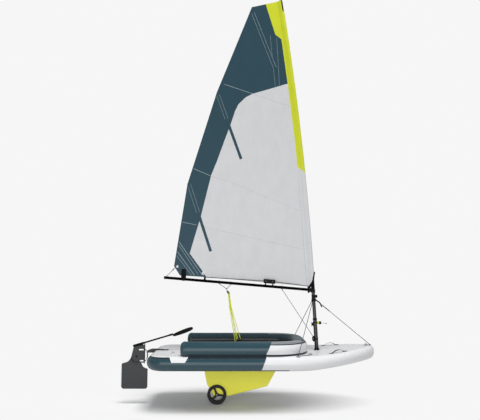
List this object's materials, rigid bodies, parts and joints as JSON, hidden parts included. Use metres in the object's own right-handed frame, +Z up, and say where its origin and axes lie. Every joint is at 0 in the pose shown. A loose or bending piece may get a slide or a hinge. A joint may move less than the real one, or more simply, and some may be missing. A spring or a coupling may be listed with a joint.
{
  "type": "inflatable sailing dinghy",
  "caption": "One-mast dinghy with a flat inflatable hull, tube cockpit ring, swinging rig, lifting rudder and a fin on small wheels.",
  "frame": {"origin": "on the waterline at mid length of the hull, on its centre plane", "axes": "+X to the bow, +Y to port, +Z up"},
  "size_m": [4.0886, 1.56, 6.7883],
  "materials": {
    "hull_fabric": "satin coated fabric, white with petrol side panels",
    "ring_white": "satin coated fabric",
    "ring_teal": "satin coated fabric",
    "fin_yellow": "smooth moulded",
    "black_plastic": "moulded",
    "stay_rope": "braided cover",
    "patch_grey": "glued patch",
    "fitting_steel": "satin",
    "mat_foam": "grooved foam",
    "bracket_grey": "moulded",
    "webbing_grey": "woven webbing",
    "webbing_black": "woven webbing",
    "mast_black": "satin carbon tube",
    "sleeve_cloth": "woven cloth",
    "sail_cloth": "laminated cloth in panels",
    "vane_green": "moulded",
    "rudder_grey": "moulded",
    "tyre_black": "smooth",
    "hub_black": "moulded"
  },
  "bodies": {
    "hull": {"hull_board": "hull_fabric", "ring_bow": "ring_white", "ring_side_port": "ring_teal", "ring_side_starboard": "ring_teal", "fin": "fin_yellow", "mast_step": "black_plastic", "stay_collar": "black_plastic", "forestay": "stay_rope", "shroud_port": "stay_rope", "shroud_starboard": "stay_rope", "chainplate_port": "patch_grey", "chainplate_starboard": "patch_grey", "bow_plate": "fitting_steel", "cockpit_mat": "mat_foam", "sheet_base": "black_plastic", "stern_bracket": "bracket_grey", "deck_handle_port": "webbing_grey", "deck_handle_starboard": "webbing_grey"},
    "rig": {"mast_lower": "mast_black", "mast_ring": "black_plastic", "mast_upper": "mast_black", "mast_end": "black_plastic", "luff_sleeve": "sleeve_cloth", "sail": "sail_cloth", "boom": "mast_black", "boom_cap": "black_plastic", "gooseneck": "black_plastic", "clew_strap": "webbing_black", "outhaul_box": "black_plastic", "mast_cleat": "black_plastic", "mast_block": "black_plastic", "front_fitting": "black_plastic", "wind_indicator": "vane_green"},
    "rudder": {"rudder_stock": "rudder_grey", "pintle": "fitting_steel", "blade_bolt": "fitting_steel", "tiller": "mast_black", "tiller_handle": "black_plastic"},
    "rudder_blade": {"rudder_blade": "rudder_grey"},
    "wheels": {"axle": "fitting_steel", "tyre_port": "tyre_black", "tyre_starboard": "tyre_black", "wheel_hub_port": "hub_black", "wheel_hub_starboard": "hub_black"}
  },
  "joints": [
    {"name": "rig_swing", "type": "hinge", "parent": "hull", "child": "rig", "pos_m": [0.875, 0, 0.16], "axis": [-0.0497, 0, 0.9988], "range_deg": [-55, 55]},
    {"name": "rudder_steer", "type": "hinge", "parent": "hull", "child": "rudder", "pos_m": [-1.925, 0, 0], "axis": [0, 0, 1], "range_deg": [-45, 45]},
    {"name": "rudder_lift", "type": "hinge", "parent": "rudder", "child": "rudder_blade", "pos_m": [-2.05, 0, 0.06], "axis": [0, 1, 0], "range_deg": [0, 70]},
    {"name": "wheels_spin", "type": "hinge", "parent": "hull", "child": "wheels", "pos_m": [-0.745, 0, -0.536], "axis": [0, 1, 0], "continuous": true}
  ]
}
